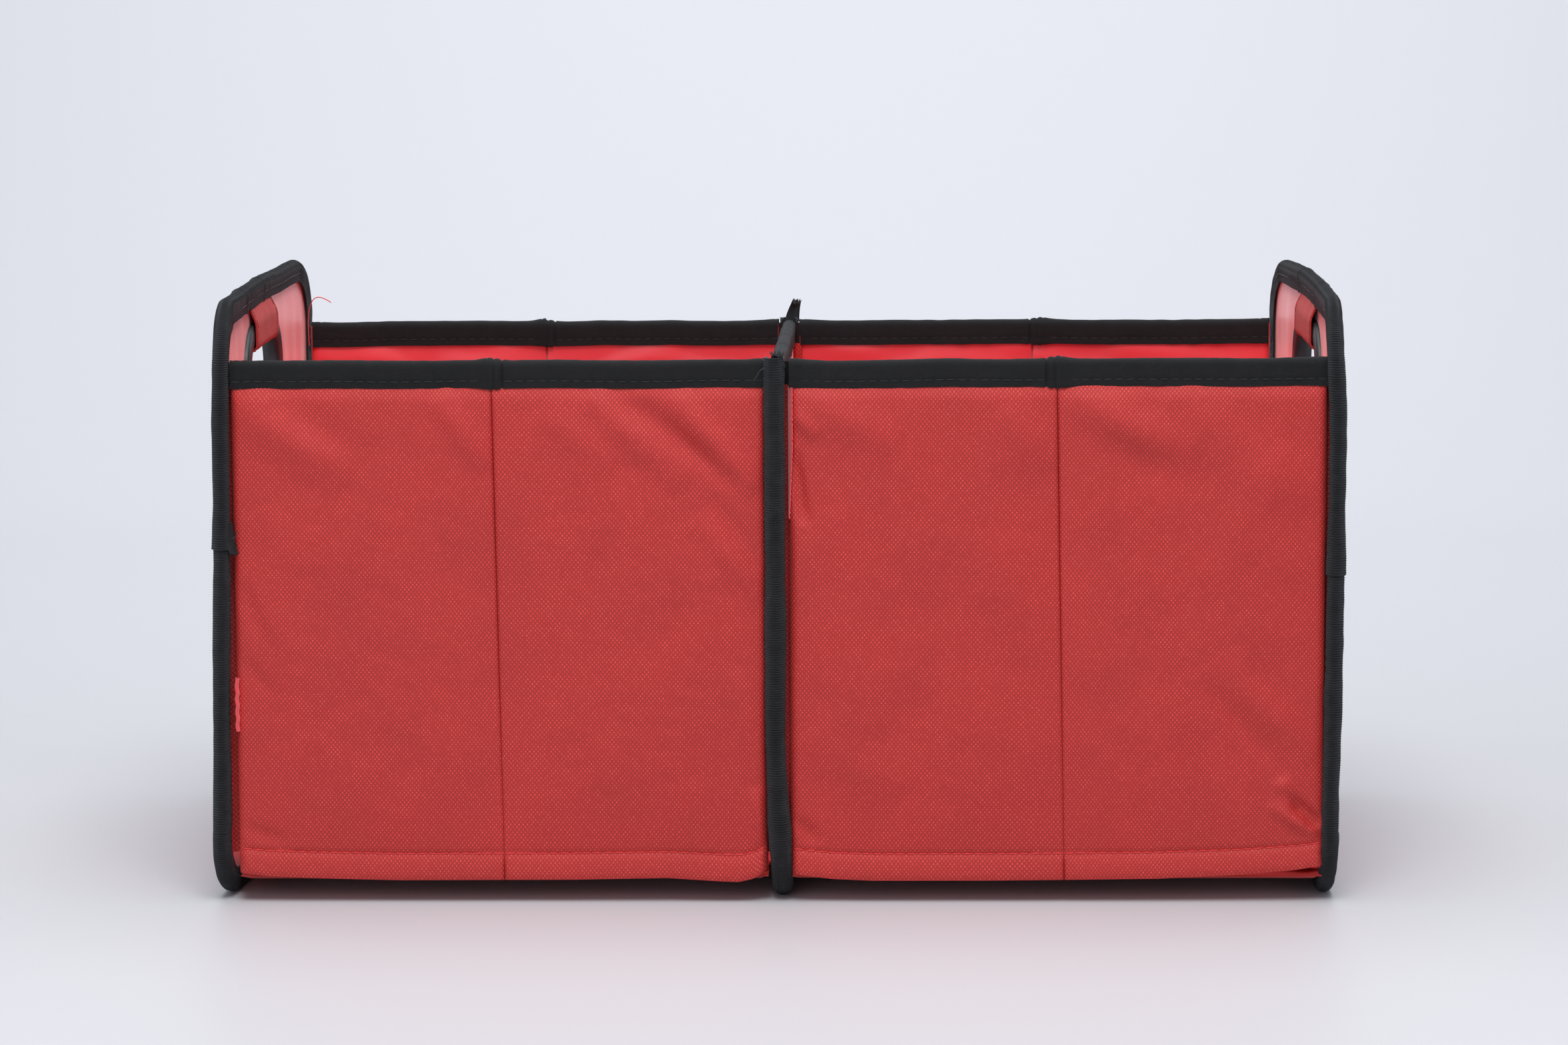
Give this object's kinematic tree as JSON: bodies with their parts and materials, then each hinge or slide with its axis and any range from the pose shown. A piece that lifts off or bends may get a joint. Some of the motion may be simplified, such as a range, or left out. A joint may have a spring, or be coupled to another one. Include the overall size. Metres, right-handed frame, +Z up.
{
  "type": "folding storage box",
  "caption": "Open-topped fabric box with two compartments, bound edges and handle holes, whose stiffened walls fold inwards flat.",
  "frame": {"origin": "on the floor under the centre of the open box", "axes": "+X along the box through both end panels, -Y towards the front, +Z up"},
  "size_m": [0.6006, 0.32, 0.326],
  "materials": {
    "outer_fabric": "woven polyester, matt",
    "lining_fabric": "coated, satin",
    "binding_tape": "ribbed polyester tape",
    "moulded_plastic": "satin moulded",
    "stiffener_board": "plain sheet"
  },
  "bodies": {
    "divider": {"divider_cover": "lining_fabric", "divider_lining": "lining_fabric", "divider_board": "stiffener_board", "divider_edge_binding": "binding_tape", "divider_top_binding": "binding_tape", "floor_cloth_left": "outer_fabric", "floor_cloth_right": "outer_fabric"},
    "front_inner_left": {"front_inner_left_cover": "outer_fabric", "front_inner_left_lining": "lining_fabric", "front_inner_left_board": "stiffener_board", "front_inner_left_binding": "binding_tape"},
    "front_outer_left": {"front_outer_left_cover": "outer_fabric", "front_outer_left_lining": "lining_fabric", "front_outer_left_board": "stiffener_board", "front_outer_left_binding": "binding_tape"},
    "back_inner_left": {"back_inner_left_cover": "outer_fabric", "back_inner_left_lining": "lining_fabric", "back_inner_left_board": "stiffener_board", "back_inner_left_binding": "binding_tape"},
    "back_outer_left": {"back_outer_left_cover": "outer_fabric", "back_outer_left_lining": "lining_fabric", "back_outer_left_board": "stiffener_board", "back_outer_left_binding": "binding_tape"},
    "end_left": {"end_left_cover": "outer_fabric", "end_left_lining": "lining_fabric", "end_left_board": "stiffener_board", "end_left_binding": "binding_tape", "handle_frame_inner_left": "moulded_plastic", "handle_frame_outer_left": "moulded_plastic", "grip_wrap_left": "outer_fabric"},
    "base_inner_left": {"base_board_inner_left": "lining_fabric"},
    "base_outer_left": {"base_board_outer_left": "lining_fabric"},
    "front_inner_right": {"front_inner_right_cover": "outer_fabric", "front_inner_right_lining": "lining_fabric", "front_inner_right_board": "stiffener_board", "front_inner_right_binding": "binding_tape"},
    "front_outer_right": {"front_outer_right_cover": "outer_fabric", "front_outer_right_lining": "lining_fabric", "front_outer_right_board": "stiffener_board", "front_outer_right_binding": "binding_tape"},
    "back_inner_right": {"back_inner_right_cover": "outer_fabric", "back_inner_right_lining": "lining_fabric", "back_inner_right_board": "stiffener_board", "back_inner_right_binding": "binding_tape"},
    "back_outer_right": {"back_outer_right_cover": "outer_fabric", "back_outer_right_lining": "lining_fabric", "back_outer_right_board": "stiffener_board", "back_outer_right_binding": "binding_tape"},
    "end_right": {"end_right_cover": "outer_fabric", "end_right_lining": "lining_fabric", "end_right_board": "stiffener_board", "end_right_binding": "binding_tape", "handle_frame_inner_right": "moulded_plastic", "handle_frame_outer_right": "moulded_plastic", "grip_wrap_right": "outer_fabric"},
    "base_inner_right": {"base_board_inner_right": "lining_fabric"},
    "base_outer_right": {"base_board_outer_right": "lining_fabric"}
  },
  "joints": [
    {"name": "left_fold", "type": "hinge", "parent": "divider", "child": "front_inner_left", "pos_m": [-0.0077, -0.1463, 0], "axis": [0, 0, -1], "range_deg": [0, 90], "deforming": ["floor_cloth_left"]},
    {"name": "left_front_middle_fold", "type": "hinge", "parent": "front_inner_left", "child": "front_outer_left", "pos_m": [-0.1464, -0.1537, 0], "axis": [0, 0, 1], "range_deg": [0, 180]},
    {"name": "left_end_fold", "type": "hinge", "parent": "front_outer_left", "child": "end_left", "pos_m": [-0.2851, -0.1463, 0], "axis": [0, 0, -1], "range_deg": [0, 90]},
    {"name": "left_back_fold", "type": "hinge", "parent": "divider", "child": "back_inner_left", "pos_m": [-0.0077, 0.1463, 0], "axis": [0, 0, 1], "range_deg": [0, 90]},
    {"name": "left_back_middle_fold", "type": "hinge", "parent": "back_inner_left", "child": "back_outer_left", "pos_m": [-0.1464, 0.1537, 0], "axis": [0, 0, -1], "range_deg": [0, 180]},
    {"name": "left_base_inner_fold", "type": "hinge", "parent": "divider", "child": "base_inner_left", "pos_m": [-0.0027, 0, 0.0177], "axis": [0, 1, 0], "range_deg": [0, 90]},
    {"name": "left_base_outer_fold", "type": "hinge", "parent": "end_left", "child": "base_outer_left", "pos_m": [-0.2915, 0, 0.0177], "axis": [0, -1, 0], "range_deg": [0, 90]},
    {"name": "right_fold", "type": "hinge", "parent": "divider", "child": "front_inner_right", "pos_m": [0.0077, -0.1463, 0], "axis": [0, 0, 1], "range_deg": [0, 90], "deforming": ["floor_cloth_right"]},
    {"name": "right_front_middle_fold", "type": "hinge", "parent": "front_inner_right", "child": "front_outer_right", "pos_m": [0.1464, -0.1537, 0], "axis": [0, 0, -1], "range_deg": [0, 180]},
    {"name": "right_end_fold", "type": "hinge", "parent": "front_outer_right", "child": "end_right", "pos_m": [0.2851, -0.1463, 0], "axis": [0, 0, 1], "range_deg": [0, 90]},
    {"name": "right_back_fold", "type": "hinge", "parent": "divider", "child": "back_inner_right", "pos_m": [0.0077, 0.1463, 0], "axis": [0, 0, -1], "range_deg": [0, 90]},
    {"name": "right_back_middle_fold", "type": "hinge", "parent": "back_inner_right", "child": "back_outer_right", "pos_m": [0.1464, 0.1537, 0], "axis": [0, 0, 1], "range_deg": [0, 180]},
    {"name": "right_base_inner_fold", "type": "hinge", "parent": "divider", "child": "base_inner_right", "pos_m": [0.0027, 0, 0.0177], "axis": [0, -1, 0], "range_deg": [0, 90]},
    {"name": "right_base_outer_fold", "type": "hinge", "parent": "end_right", "child": "base_outer_right", "pos_m": [0.2915, 0, 0.0177], "axis": [0, 1, 0], "range_deg": [0, 90]}
  ],
  "couplings": [
    {"joint": "left_front_middle_fold", "follows": "left_fold", "ratio": 2},
    {"joint": "left_end_fold", "follows": "left_fold", "ratio": 1},
    {"joint": "left_back_fold", "follows": "left_fold", "ratio": 1},
    {"joint": "left_back_middle_fold", "follows": "left_fold", "ratio": 2},
    {"joint": "left_base_inner_fold", "follows": "left_fold", "ratio": 1},
    {"joint": "left_base_outer_fold", "follows": "left_fold", "ratio": 1},
    {"joint": "right_front_middle_fold", "follows": "right_fold", "ratio": 2},
    {"joint": "right_end_fold", "follows": "right_fold", "ratio": 1},
    {"joint": "right_back_fold", "follows": "right_fold", "ratio": 1},
    {"joint": "right_back_middle_fold", "follows": "right_fold", "ratio": 2},
    {"joint": "right_base_inner_fold", "follows": "right_fold", "ratio": 1},
    {"joint": "right_base_outer_fold", "follows": "right_fold", "ratio": 1}
  ]
}
